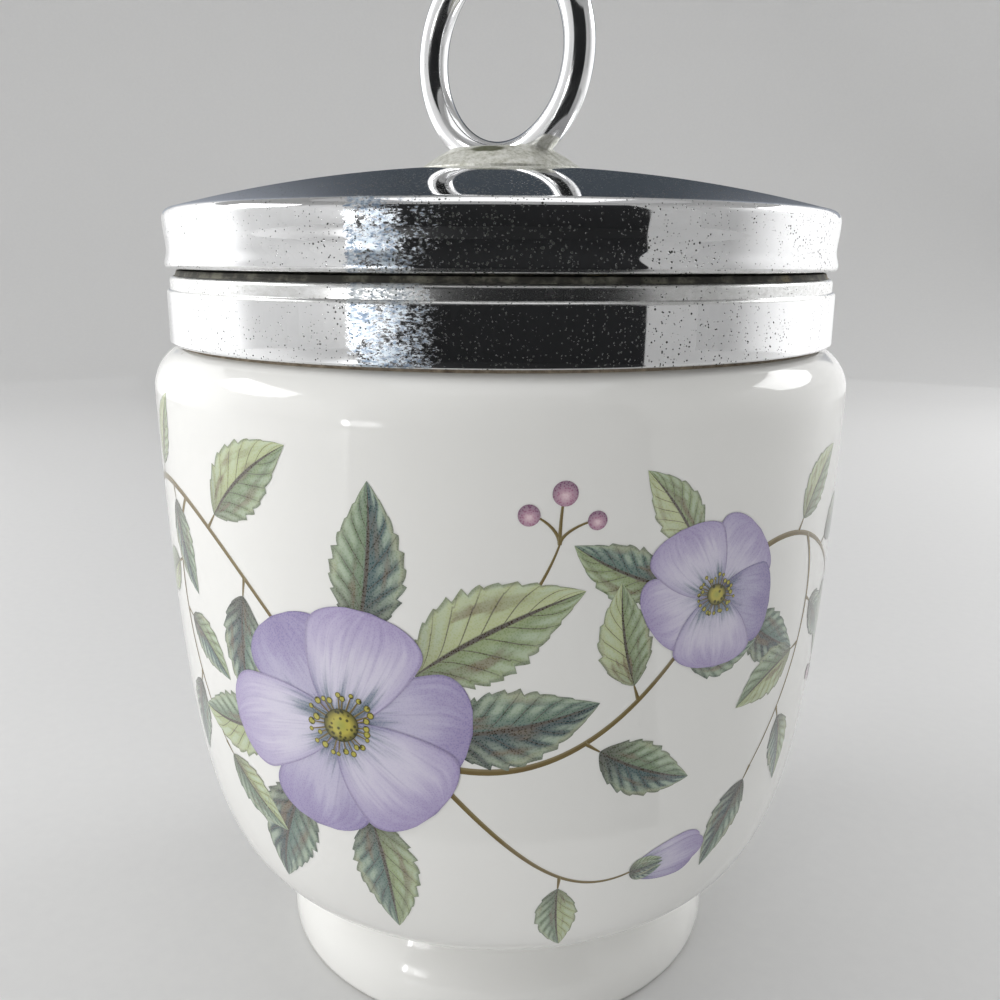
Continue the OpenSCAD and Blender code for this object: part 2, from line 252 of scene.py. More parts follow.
def cup_underside():
    flat = xy(FOOT_R - FOOT_ROUND - FOOT_FLAT, 0)
    edge, *pulls = [flat + xy(-p[0], p[1]) for p in (HOLLOW_EDGE, *HOLLOW_PULLS)]
    top = xy(edge[0] - HOLLOW_TURN, RECESS_H - HOLLOW_DROP)
    return (
        [flat]
        + curve(flat, *pulls, edge, 8)
        + curve(edge, xy(edge[0], RECESS_H), top + xy(HOLLOW_TURN / 2, 0), top, 10)
        + [xy(0, RECESS_H)]
    )


def cup_inside():
    middle = xy(0, FLOOR_Z)
    turn = xy(FOOT_R - FLOOR_TURN[0], FLOOR_Z + FLOOR_TURN[1])
    side = xy(BELLY_R - CUP_WALL, LEDGE_Z - SIDE_TOP)
    mouth = xy(MOUTH_R, LEDGE_Z + MOUTH_RISE)
    return (
        [middle]
        + curve(middle, middle + xy(FLOOR_FLAT, 0), turn - xy(*FLOOR_TURN_LOW), turn, 16)
        + curve(turn, turn + xy(*FLOOR_TURN_HIGH), side - xy(0, SIDE_PULL), side, 40)
        + curve(side, side + xy(0, NECK_PULL), mouth - xy(0, NECK_PULL), mouth, 16)
    )


def cup_outline():
    rim = arc((SEAT_R, RIM_C_Z), RIM_R, 180, 0, 24)
    return cup_inside() + rim + [xy(NECK_R, LEDGE_Z)] + cup_outside() + cup_underside()


def collar_outline():
    """Collar, with the old grime that has settled on its shoulder under the lid."""
    step_r = COLLAR_R - STEP_IN
    inner = COLLAR_R - COLLAR_WALL
    grime_r = step_r - STEP_ROUND - GRIME_WIDTH
    heap = [xy(grime_r + out, SHOULDER_TOP + GRIME_H * share) for out, share in GRIME_HEAP]
    return (
        [
            xy(inner, LEDGE_Z),
            xy(inner, BAND_TOP - STEP_IN),
            xy(inner - STEP_IN, BAND_TOP),
            xy(inner - STEP_IN, SHOULDER_TOP - COLLAR_WALL),
            xy(COLLAR_NECK_IN_R, SHOULDER_TOP - COLLAR_WALL),
            xy(COLLAR_NECK_IN_R, COLLAR_TOP),
        ]
        + arc((COLLAR_NECK_R - LIP_ROUND, COLLAR_TOP - LIP_ROUND), LIP_ROUND, 90, 0, 8)
        + [xy(COLLAR_NECK_R, SHOULDER_TOP)]
        + heap
        + arc((step_r - STEP_ROUND, SHOULDER_TOP - STEP_ROUND), STEP_ROUND, 90, 0)
        + [xy(step_r, BAND_TOP)]
        + arc((COLLAR_R - BAND_ROUND, BAND_TOP - BAND_ROUND), BAND_ROUND, 70, 0)
        + arc((COLLAR_R - HEM_ROUND, LEDGE_Z + HEM_ROUND), HEM_ROUND, 0, -90)
    )


def lid_outline():
    hole = RIVET_R + FIT_GAP
    edge = xy(LID_R, EDGE_C_Z)
    waist = xy(LID_R - WAIST_IN, SKIRT_Z + BEAD_H)
    bead = xy(LID_R, SKIRT_Z + BEAD_MID)
    hem = xy(bead[0] - BEAD_HEM, SKIRT_Z)
    return (
        [xy(r, dome_z(r)) for r in np.linspace(hole, DOME_EDGE_R, 64)]
        + arc((DOME_EDGE_R, EDGE_C_Z), EDGE_ROUND, 90 - EDGE_LEAN, 0, 14)[1:]
        + curve(edge, edge - xy(0, SKIRT_PULL), waist + xy(0, SKIRT_WAIST_PULL), waist, 14)
        + curve(waist, waist - xy(0, BEAD_PULL), bead + xy(0, BEAD_PULL), bead, 12)
        + curve(bead, bead - xy(0, BEAD_HEM), hem + xy(BEAD_TURN, 0), hem, 8)
        + [xy(SKIRT_IN_R, SKIRT_Z)]
        + [xy(r, under_z(r)) for r in np.linspace(SKIRT_IN_R, hole, 48)]
    )


def boss_outline():
    rim = xy(BOSS_R, dome_z(BOSS_R) + BOSS_EDGE)
    top = xy(BOSS_TOP_R, BOSS_TOP)
    return (
        [xy(r, dome_z(r)) for r in np.linspace(0, BOSS_R, BOSS_STEPS)]
        + [rim]
        + curve(rim, rim - xy(*FLARE_LOW), top + xy(*FLARE_HIGH), top, 14)
        + [xy(0, BOSS_TOP)]
    )


# ---- meshes


def grid_faces(rows, columns, around=False, closed=False):
    """Faces of a grid of points, row by row. Around joins its last row to the first, closed its columns."""
    faces = []
    for i in range(rows if around else rows - 1):
        for k in range(columns if closed else columns - 1):
            here, there = i * columns, (i + 1) % rows * columns
            n = (k + 1) % columns
            faces.append((here + k, there + k, there + n, here + n))
    return faces


def mesh_object(name, points, faces, material):
    """An object from points in metres."""
    mesh = bpy.data.meshes.new(name)
    mesh.from_pydata([tuple(p) for p in points], [], faces)
    mesh.materials.append(material)
    obj = bpy.data.objects.new(name, mesh)
    bpy.context.scene.collection.objects.link(obj)
    return obj


def new_object(name, points, faces, body, material):
    """A piece of the part, which rides on a body."""
    obj = mesh_object(name, points, faces, material)
    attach(obj, body)
    return obj


def smooth(obj, sharp=38):
    """Merges doubled points, turns every face outwards and keeps edges sharper than that angle."""
    made = bmesh.new()
    made.from_mesh(obj.data)
    bmesh.ops.remove_doubles(made, verts=made.verts, dist=1e-7)
    bmesh.ops.recalc_face_normals(made, faces=made.faces)
    made.to_mesh(obj.data)
    made.free()
    obj.data.shade_smooth()
    obj.data.set_sharp_from_angle(angle=math.radians(sharp))


def turned(name, outline, body, material, steps=256):
    """Solid that a closed outline makes when it is turned about Z."""
    ring = np.array(outline) * MM
    angle = np.arange(steps) * 2 * math.pi / steps
    points = np.empty((steps, len(ring), 3))
    points[..., 0] = np.cos(angle)[:, None] * ring[:, 0]
    points[..., 1] = np.sin(angle)[:, None] * ring[:, 0]
    points[..., 2] = ring[:, 1]
    count = len(ring)
    faces = grid_faces(steps, count, True, True)
    faces = [f for f in faces if ring[f[0] % count, 0] > 0 or ring[f[3] % count, 0] > 0]
    obj = new_object(name, points.reshape(-1, 3), faces, body, material)
    smooth(obj)
    return obj


def ridge(wall_r, low, turns, steps_per_turn=120):
    """Vertices and faces of the collar's helical ridge."""
    steps = math.ceil(turns * steps_per_turn)
    slope = (RIDGE_FOOT - RIDGE_CREST) / THREAD_DEPTH
    root_half = (RIDGE_FOOT + slope * RIDGE_ROOT) / 2
    crest_half = RIDGE_CREST / 2
    points = []
    for i in range(steps + 1):
        angle = 2 * math.pi * turns * i / steps
        from_end = min(i, steps - i) * 2 * math.pi * turns / steps
        rise = min(1, from_end / RIDGE_RUN_OUT - RIDGE_SUNK)
        z = low + PITCH * turns * i / steps
        root_r, crest_r = wall_r - RIDGE_ROOT, wall_r + THREAD_DEPTH * rise
        section = (root_r, -root_half), (crest_r, -crest_half), (crest_r, crest_half), (root_r, root_half)
        points += [(r * math.cos(angle) * MM, r * math.sin(angle) * MM, (z + dz) * MM) for r, dz in section]
    faces = grid_faces(steps + 1, 4, closed=True)
    faces.append((3, 2, 1, 0))
    faces.append(tuple(4 * steps + k for k in range(4)))
    return points, faces


def torus(name, body, material, around=160, across=40):
    """The lifting loop: a ring of round rod, flat at its foot."""
    points = []
    for i in range(around):
        a = 2 * math.pi * i / around
        for k in range(across):
            b = 2 * math.pi * k / across
            r = LOOP_R + LOOP_ROD_R * math.cos(b)
            z = max(LOOP_C + r * math.sin(a), LOOP_FOOT_Z)
            points.append((r * math.cos(a) * MM, LOOP_ROD_R * math.sin(b) * MM, z * MM))
    obj = new_object(name, points, grid_faces(around, across, True, True), body, material)
    obj.data.shade_smooth()
    return obj


def rod_side(x, z):
    """Half the width of the loop's rod, at a height, x to the side of its middle."""
    inside = np.hypot(x, LOOP_C - z) - LOOP_R
    return np.sqrt(np.clip(LOOP_ROD_R**2 - inside**2, 0, None))


def mound(name, body, material, rings=44, around=144):
    """Solder that ran out round the foot of the loop: a low skin on the boss that climbs to the rod."""
    r = np.linspace(0, BOSS_R - SOLDER_EDGE, rings)[:, None]
    a = np.linspace(0, 2 * math.pi, around, endpoint=False)[None]
    x, y = r * np.cos(a), r * np.sin(a)
    profile = np.array(boss_outline()[BOSS_STEPS:-1])[::-1]
    floor = np.interp(r, profile[:, 0], profile[:, 1]) + 0 * a
    end = math.sqrt((LOOP_R + LOOP_ROD_R) ** 2 - (LOOP_C - BOSS_TOP) ** 2)
    gap = np.hypot(np.clip(np.abs(x) - end, 0, None), np.clip(np.abs(y) - rod_side(x, floor), 0, None))
    broad, fine = SOLDER_RIPPLES
    ripple = broad * np.sin(3 * a + 1) * np.sin(r * 1.7) + fine * np.sin(7 * a + r * 2.3)
    top = floor + (SOLDER_H + ripple) * np.exp(-((gap / SOLDER_REACH) ** 2)) - SOLDER_SINK
    under = np.minimum(floor, top) - SOLDER_DEPTH
    points = np.concatenate([np.stack([x, y, top], -1), np.stack([x, y, under], -1)[::-1]]) * MM
    faces = [(a, d, c, b) for a, b, c, d in grid_faces(2 * rings, around, closed=True)]
    obj = new_object(name, points.reshape(-1, 3), faces, body, material)
    smooth(obj, 60)
    return obj


# ---- materials

WORN_AZIMUTH = -18
WORN_SHIFT = 9
WORN_SPREAD = (3, 14)
WORN_LIMIT = (10.5, 12.5)
PIT_COLOUR = (0.03, 0.036, 0.028, 1)
# Painted shadow of the loop's rod on the front of the boss: its place, size and dark olive colour
ROD_SHADOW_OUT = 5.9
ROD_SHADOW_SIDE = -1.5
ROD_SHADOW_RISE = -0.4
ROD_SHADOW_SIZE = (2.1, 2.1, 0.42)
ROD_SHADOW_COLOUR = (0.065, 0.072, 0.022, 1)
PRINT_WHITE = (0.86, 0.855, 0.84, 1)


class Graph:
    """A material's node tree, with short calls for the nodes that the materials here share."""

    def __init__(self, name):
        self.material = bpy.data.materials.new(name)
        self.material.use_nodes = True
        self.nodes = self.material.node_tree.nodes
        self.links = self.material.node_tree.links
        self.nodes.clear()
        self.shader = self.add("BsdfPrincipled")
        self.add("OutputMaterial", Surface=self.shader.outputs["BSDF"])

    def put(self, value, socket):
        if isinstance(value, bpy.types.NodeSocket):
            self.links.new(value, socket)
        else:
            socket.default_value = value

    def fill(self, node, **values):
        """Gives a node's inputs values or links, by name."""
        for key, value in values.items():
            self.put(value, node.inputs[key.replace("_", " ")])
        return node

    def add(self, kind, **values):
        return self.fill(self.nodes.new("ShaderNode" + kind), **values)

    def set(self, **values):
        self.fill(self.shader, **values)

    def place(self, scale=(1, 1, 1)):
        """Object coordinates, in metres, times a scale."""
        texture = self.add("TexCoord")
        return self.add("Mapping", Vector=texture.outputs["Object"], Scale=scale).outputs["Vector"]

    def math(self, operation, a, b=0.0, c=0.0, clamp=False):
        node = self.add("Math")
        node.operation = operation
        node.use_clamp = clamp
        for value, socket in zip((a, b, c), node.inputs):
            self.put(value, socket)
        return node.outputs[0]

    def plus(self, a, b):
        return self.math("ADD", a, b)

    def times(self, first, *others):
        for other in others:
            first = self.math("MULTIPLY", first, other)
        return first

    def scaled(self, value, scale, plus):
        """The value times a scale, plus another value."""
        return self.math("MULTIPLY_ADD", value, scale, plus)

    def out(self, x, y):
        """Distance from the axis."""
        return self.math("SQRT", self.plus(self.times(x, x), self.times(y, y)))

    def step(self, value, low, high, to_low=0.0, to_high=1.0):
        """Smooth step from to_low to to_high as value goes from low to high."""
        node = self.add("MapRange", Value=value, From_Min=low, From_Max=high, To_Min=to_low, To_Max=to_high)
        node.interpolation_type = "SMOOTHSTEP"
        return node.outputs["Result"]

    def noise(self, vector, scale, detail=3.0, roughness=0.55):
        node = self.add("TexNoise", Vector=vector, Scale=scale, Detail=detail, Roughness=roughness)
        return node.outputs["Fac"]

    def cells(self, vector, scale):
        node = self.add("TexVoronoi", Vector=vector, Scale=scale)
        return node.outputs["Distance"], node.outputs["Color"]

    def mix(self, factor, a, b, blend="MIX"):
        node = self.add("Mix")
        node.data_type = "RGBA"
        node.blend_type = blend
        self.put(factor, node.inputs[0])
        self.put(a, node.inputs[6])
        self.put(b, node.inputs[7])
        return node.outputs[2]

    def ramp(self, value, *stops):
        node = self.add("ValToRGB", Fac=value)
        node.color_ramp.interpolation = "B_SPLINE" if len(stops) > 3 else "LINEAR"
        while len(node.color_ramp.elements) < len(stops):
            node.color_ramp.elements.new(0.5)
        for element, (at, colour) in zip(node.color_ramp.elements, stops):
            element.position = at
            element.color = (*colour, 1)
        return node.outputs["Color"]

    def bump(self, height, distance, strength=1.0):
        node = self.add("Bump", Height=height, Distance=distance, Strength=strength)
        self.set(Normal=node.outputs["Normal"])

    def attribute(self, name):
        node = self.add("Attribute")
        node.attribute_name = name
        return node.outputs["Fac"], node.outputs["Vector"]

    def split(self, vector):
        return self.add("SeparateXYZ", Vector=vector).outputs

    def patch(self):
        """A printed patch's own tone, and the places along it and across it."""
        u, v, _ = self.split(self.attribute("patch")[1])
        return self.attribute("tone")[0], u, v

    def join(self, x, y, z=0.0):
        return self.add("CombineXYZ", X=x, Y=y, Z=z).outputs[0]


def porcelain():
    """Clear glaze over white porcelain, bare and dull on the ring that it was fired on."""
    g = Graph("porcelain_glaze")
    place = g.place()
    z = g.split(place)[2]
    bare = g.step(z, 0.5 * MM, 0.15 * MM)
    cloud = g.noise(place, 35, 2)
    white = g.mix(cloud, (0.80, 0.80, 0.775, 1), (0.84, 0.835, 0.81, 1))
    speck_at, speck_kind = g.cells(place, 160)
    speck = g.times(g.step(speck_at, 0.035, 0.02), g.step(g.split(speck_kind)[0], 0.9, 0.93))
    white = g.mix(g.times(speck, 0.5), white, (0.42, 0.38, 0.32, 1))
    g.set(Base_Color=g.mix(bare, white, (0.62, 0.6, 0.55, 1)))
    g.set(Roughness=g.plus(g.times(bare, 0.5), g.scaled(cloud, 0.03, 0.055)))
    g.set(IOR=1.52)
    g.bump(g.noise(place, 55, 1), 0.00012, 0.25)
    return g.material


def pinholes(g, place, scale, size, crowd):
    """Small round spots, one to a cell of 1 / scale metres, and bigger where crowd is near 1."""
    near, kind = g.cells(place, scale)
    chance = g.math("POWER", g.split(kind)[0], 1.2)
    radius = g.times(g.times(chance, size), crowd)
    return g.step(g.math("SUBTRACT", near, radius), 0.0, -0.03)


def facing(g, place, azimuth, inner, outer):
    """1 within inner degrees of an azimuth on a turned piece, fading to 0 at outer degrees."""
    x, y, _ = g.split(place)
    along = g.plus(g.times(x, math.sin(azimuth)), g.times(y, -math.cos(azimuth)))
    cosine = g.math("DIVIDE", along, g.plus(g.out(x, y), NEVER_ZERO))
    return g.step(cosine, math.cos(math.radians(outer)), math.cos(math.radians(inner)))


def past(g, value, start, end):
    """0 at start and 1 at end, both in millimetres."""
    return g.step(value, start * MM, end * MM)


def lay(g, look, mask, colour, rougher, less_metal=0.0):
    """A look is a colour, a roughness and a metallic. Lays a colour over it where mask is 1."""
    under, rough, metal = look
    rough = g.scaled(mask, rougher, rough)
    metal = g.math("SUBTRACT", metal, g.times(mask, less_metal), clamp=True)
    return g.mix(mask, under, colour), rough, metal


def worn(g, place, look, dull_top):
    """Plating worn cloudy on one side, and dull from the collar's band up to a height."""
    z = g.split(place)[2]
    patch = g.times(
        g.math(
            "MINIMUM",
            facing(g, place, from_camera(WORN_AZIMUTH), *WORN_SPREAD),
            facing(g, place, from_camera(WORN_AZIMUTH + WORN_SHIFT), *WORN_LIMIT),
        ),
        past(g, z, EDGE_Z + 0.3, EDGE_Z - 0.3),
        g.step(g.noise(place, 240, 3), 0.25, 0.55, 0.45, 1.0),
    )
    flakes = g.noise(g.place((0.45, 0.45, 1)), 4600, 5, 0.75)
    scabs = g.noise(g.place((0.5, 0.5, 1)), 2600, 4, 0.7)
    cloudy = g.times(g.step(g.scaled(patch, 0.36, flakes), 0.74, 0.88), g.step(patch, 0.0, 0.3))
    blue = g.mix(g.step(scabs, 0.4, 0.58), (0.12, 0.17, 0.24, 1), (0.46, 0.52, 0.58, 1))
    look = lay(g, look, cloudy, blue, 0.3, 0.6)
    dull = g.times(past(g, z, BAND_TOP - 0.45, BAND_TOP - 0.3), past(g, z, dull_top, dull_top - 0.2))
    grey = g.mix(g.step(scabs, 0.35, 0.65, 0.3, 0.65), look[0], (0.5, 0.5, 0.48, 1))
    return lay(g, look, dull, grey, 0.2)


def grime_and_shade(g, place, look, top):
    """Olive grime on the collar's shoulder, up to a height, with painted shade: the gap under the lid
    darkened nearly to black.
    """
    x, y, z = g.split(place)
    dirt = g.noise(place, 520, 4, 0.7)
    out = g.scaled(dirt, 0.3 * MM, g.out(x, y))
    edge = COLLAR_R - STEP_IN - STEP_ROUND / 2
    grime_and_shade_mask = g.times(
        past(g, out, edge + 0.15, edge - 0.05),
        past(g, z, top, top - 0.1),
        past(g, z, SHOULDER_TOP - 0.2, SHOULDER_TOP - 0.1),
    )
    olive = g.mix(g.step(g.noise(place, 70, 2), 0.5, 0.62), (0.16, 0.155, 0.12, 1), (0.23, 0.17, 0.07, 1))
    # The olive is grime; the near-black is painted shade of the gap under the lid
    soil_and_shade = g.mix(g.step(dirt, 0.42, 0.66), (0.035, 0.033, 0.027, 1), olive)
    return lay(g, look, grime_and_shade_mask, soil_and_shade, 0.5, 0.85)


def chrome(name, pitted=1.0, dull_top=None, grime_and_shade_top=None, blur=0.035):
    """Old chrome plating: a mirror with pinholes in it and fine wipe marks. With dull_top it is worn, and
    with a grime height it has olive grime and painted shade in the gap under the lid, each up to that height."""
    g = Graph(name)
    place = g.place()
    crowd = g.times(g.step(g.noise(place, 60, 4, 0.6), 0.36, 0.6, 0.45, 1.0), pitted)
    pit = g.math("MAXIMUM", pinholes(g, place, 1900, 0.27, crowd), pinholes(g, place, 3700, 0.4, crowd))
    haze = g.noise(place, 260, 5, 0.7)
    wipe = g.noise(g.place((8, 8, 900)), 1, 3)
    rough = g.scaled(g.step(haze, 0.45, 0.8), 0.05, blur)
    rough = g.scaled(g.step(wipe, 0.5, 0.8), 0.05, rough)
    look = g.mix(haze, (0.76, 0.765, 0.775, 1), (0.83, 0.83, 0.835, 1)), rough, 1.0
    if dull_top:
        look = worn(g, place, look, dull_top)
    # Grime and painted shade: the gap between lid and collar darkened
    if grime_and_shade_top:
        look = grime_and_shade(g, place, look, grime_and_shade_top)
    colour, rough, metal = lay(g, look, pit, PIT_COLOUR, 0.5, 0.9)
    g.set(Base_Color=colour, Roughness=rough, Metallic=metal)
    g.bump(g.scaled(wipe, 0.05, g.times(pit, -0.3)), 0.00003, 0.6)
    return g.material


def plain_metal(name, colour, rough):
    """Unplated metal, dull, with darker stains."""
    g = Graph(name)
    place = g.place()
    stain = g.noise(place, 300, 5, 0.65)
    grain = g.noise(g.place((1, 1, 6)), 1800, 2)
    dark = tuple(c * 0.55 for c in colour)
    g.set(Base_Color=g.mix(g.step(stain, 0.35, 0.75), (*dark, 1), (*colour, 1)), Metallic=1.0)
    g.set(Roughness=g.scaled(stain, 0.25, rough))
    g.bump(grain, 0.00003, 0.4)
    return g.material


def solder_metal():
    """Grey solder that ran over the boss, lumpy and dull, with a painted shadow in front: a dark olive spot
    under the loop's rod.
    """
    g = Graph("solder_grey")
    place = g.place()
    lumps = g.noise(place, 650, 4, 0.6)
    fine = g.noise(place, 2100, 4, 0.7)
    both = g.scaled(fine, 0.6, g.times(lumps, 0.4))
    grey = g.ramp(both, (0.3, (0.3, 0.3, 0.22)), (0.5, (0.66, 0.66, 0.6)), (0.66, (0.86, 0.86, 0.82)))
    # Painted shadow of the loop's rod: a dark olive spot on the boss's front edge
    spot = at_azimuth(CAMERA_AZIMUTH, ROD_SHADOW_OUT, BOSS_TOP + ROD_SHADOW_RISE)
    spot += at_azimuth(CAMERA_AZIMUTH + math.pi / 2, ROD_SHADOW_SIDE, 0)
    near = 0.0
    for a, b, size in zip(g.split(place), spot, ROD_SHADOW_SIZE):
        off = g.math("DIVIDE", g.math("SUBTRACT", a, b), size * MM)
        near = g.scaled(off, off, near)
    rod_shadow = g.times(g.step(g.scaled(lumps, 0.8, near), 1.5, 0.8), 0.9)
    g.set(Base_Color=g.mix(rod_shadow, grey, ROD_SHADOW_COLOUR))
    g.set(Metallic=0.6, Roughness=g.step(both, 0.3, 0.7, 0.65, 0.4))
    g.bump(both, 0.0002, 0.7)
    return g.material


def cement():
    """Brownish cement that shows as a thin line under the collar."""
    g = Graph("cement_brown")
    grit = g.noise(g.place(), 900, 4, 0.7)
    g.set(Base_Color=g.ramp(grit, (0.3, (0.1, 0.075, 0.05)), (0.7, (0.32, 0.27, 0.2))), Roughness=0.9)
    g.bump(grit, 0.0001, 0.7)
    return g.material


def ink(name, colour):
    """Glossy transfer print: the glaze's own gloss over a colour."""
    g = Graph(name)
    g.set(Base_Color=colour(g), Roughness=0.075, IOR=1.52)
    return g.material


def screen_dots(g, colour, amount=0.12):
    """The fine dots that a printed tint is made of."""
    near, _ = g.cells(g.place(), 5200)
    dots = g.step(near, 0.2, 0.55, 0.0, amount)
    return g.mix(dots, colour, PRINT_WHITE)


def petal_colour(g):
    """Dark at the flower's heart, pale in the middle and lilac towards the edge, with fine streaks."""
    tone, u, v = g.patch()
    across = g.math("ABSOLUTE", v)
    own = g.times(tone, 31)
    streak = g.noise(g.join(g.times(u, 1.3), g.times(v, 7), own), 1.6, 5, 0.6)
    cloud = g.noise(g.join(u, v, own), 1.8, 2)
    along = g.plus(u, g.times(g.math("SUBTRACT", streak, 0.5), 0.55))
    along = g.plus(along, g.times(g.math("SUBTRACT", cloud, 0.5), 0.5))
    tint = g.ramp(
        along,
        (0.06, (0.045, 0.085, 0.105)),
        (0.2, (0.17, 0.22, 0.29)),
        (0.34, (0.58, 0.55, 0.69)),
        (0.52, (0.66, 0.63, 0.745)),
        (0.74, (0.465, 0.41, 0.61)),
        (1.0, (0.345, 0.285, 0.50)),
    )
    vein = g.noise(g.join(g.times(u, 0.8), g.times(v, 26), own), 1.0, 2)
    tint = g.mix(g.step(vein, 0.55, 0.7, 0.0, 0.22), tint, (0.26, 0.22, 0.42, 1))
    tint = g.mix(g.step(across, 0.6, 1.0, 0.0, 0.5), tint, (0.33, 0.27, 0.5, 1))
    edge = g.math("MAXIMUM", g.step(across, 0.93, 0.98), g.step(u, 0.975, 0.99))
    tint = g.mix(g.times(edge, 0.5), tint, (0.17, 0.13, 0.29, 1))
    deep = g.mix(1.0, tint, (0.62, 0.6, 0.74, 1), "MULTIPLY")
    return screen_dots(g, g.mix(g.step(tone, 0.45, 0.95, 0.0, 0.9), tint, deep))


def leaf_colour(g):
    """Yellow-green to dark teal by its tone, with one half lighter, brown shading and dark veins."""
    tone, u, v = g.patch()
    across = g.math("ABSOLUTE", v)
    own = g.times(tone, 23)
    cloud = g.noise(g.join(u, v, own), 2.6, 3)
    shift = g.step(v, -0.12, 0.12, 0.16, -0.16)
    green = g.ramp(
        g.plus(g.scaled(tone, 0.75, shift), g.times(cloud, 0.3)),
        (0.08, (0.50, 0.55, 0.30)),
        (0.3, (0.30, 0.37, 0.15)),
        (0.52, (0.13, 0.20, 0.12)),
        (0.72, (0.06, 0.13, 0.14)),
        (0.95, (0.02, 0.05, 0.055)),
    )
    brown = g.times(g.step(cloud, 0.5, 0.66), g.step(u, 1.0, 0.25))
    green = g.mix(g.times(brown, 0.8), green, (0.17, 0.11, 0.06, 1))
    along = g.times(u, 7.5)
    rib_at = g.math("SUBTRACT", along, g.times(g.math("POWER", across, 0.8), 2.2))
    ribs = g.math("ABSOLUTE", g.math("SUBTRACT", g.math("FRACT", rib_at), 0.5))
    light = g.times(g.step(ribs, 0.42, 0.1), g.step(across, 0.1, 0.55))
    pale = g.times(light, g.step(cloud, 0.62, 0.4, 0.15, 0.6))
    green = g.mix(pale, green, (0.52, 0.62, 0.47, 1))
    rim = g.times(g.step(across, 0.55, 0.9), g.step(cloud, 0.36, 0.6, 0.0, 0.5))
    green = g.mix(rim, green, (0.56, 0.62, 0.40, 1))
    base = g.step(g.scaled(cloud, 0.35, u), 0.58, 0.16)
    base = g.times(base, g.step(tone, 0.0, 0.7, 0.35, 0.9))
    green = g.mix(base, green, (0.045, 0.045, 0.03, 1))
    vein = g.times(g.step(ribs, 0.44, 0.485), g.step(across, 1.0, 0.5, 0.3, 0.8))
    vein = g.math("MAXIMUM", vein, g.step(across, 0.075, 0.03))
    green = g.mix(vein, green, (0.05, 0.035, 0.022, 1))
    edge = g.math("MAXIMUM", g.step(across, 0.86, 0.97), g.step(u, 0.04, 0.0))
    return screen_dots(g, g.mix(g.times(edge, 0.5), green, (0.04, 0.06, 0.045, 1)))


def stem_colour(g):
    """Brown, clouded along the stem and paler on one side."""
    tone, u, v = g.patch()
    cloud = g.noise(g.join(g.times(u, 9), v, tone), 1.5, 2)
    brown = g.mix(cloud, (0.13, 0.08, 0.045, 1), (0.24, 0.2, 0.08, 1))
    return g.mix(g.step(v, 0.0, 0.8, 0.0, 0.3), brown, (0.5, 0.45, 0.3, 1))


def heart_colour(g):
    """Yellow-green with a dark rim and dark seeds."""
    _, u, _ = g.patch()
    near, _ = g.cells(g.place(), 2100)
    seeds = g.step(near, 0.45, 0.2)
    base = g.ramp(u, (0.0, (0.36, 0.38, 0.1)), (0.5, (0.5, 0.44, 0.1)), (1.0, (0.06, 0.06, 0.04)))
    return g.mix(g.times(seeds, 0.8), base, (0.03, 0.035, 0.03, 1))


def berry_colour(g):
    """Dark round the edge, with a pale light to one side."""
    _, u, v = g.patch()
    off = g.plus(u, g.times(v, 0.25))
    berry = g.ramp(off, (0.05, (0.72, 0.52, 0.58)), (0.5, (0.42, 0.2, 0.3)), (1.0, (0.2, 0.08, 0.16)))
    return screen_dots(g, berry, 0.2)


# ---- the print

STALK = 0.16
LEAF_SHARE = 0.58
STAMENS = 26


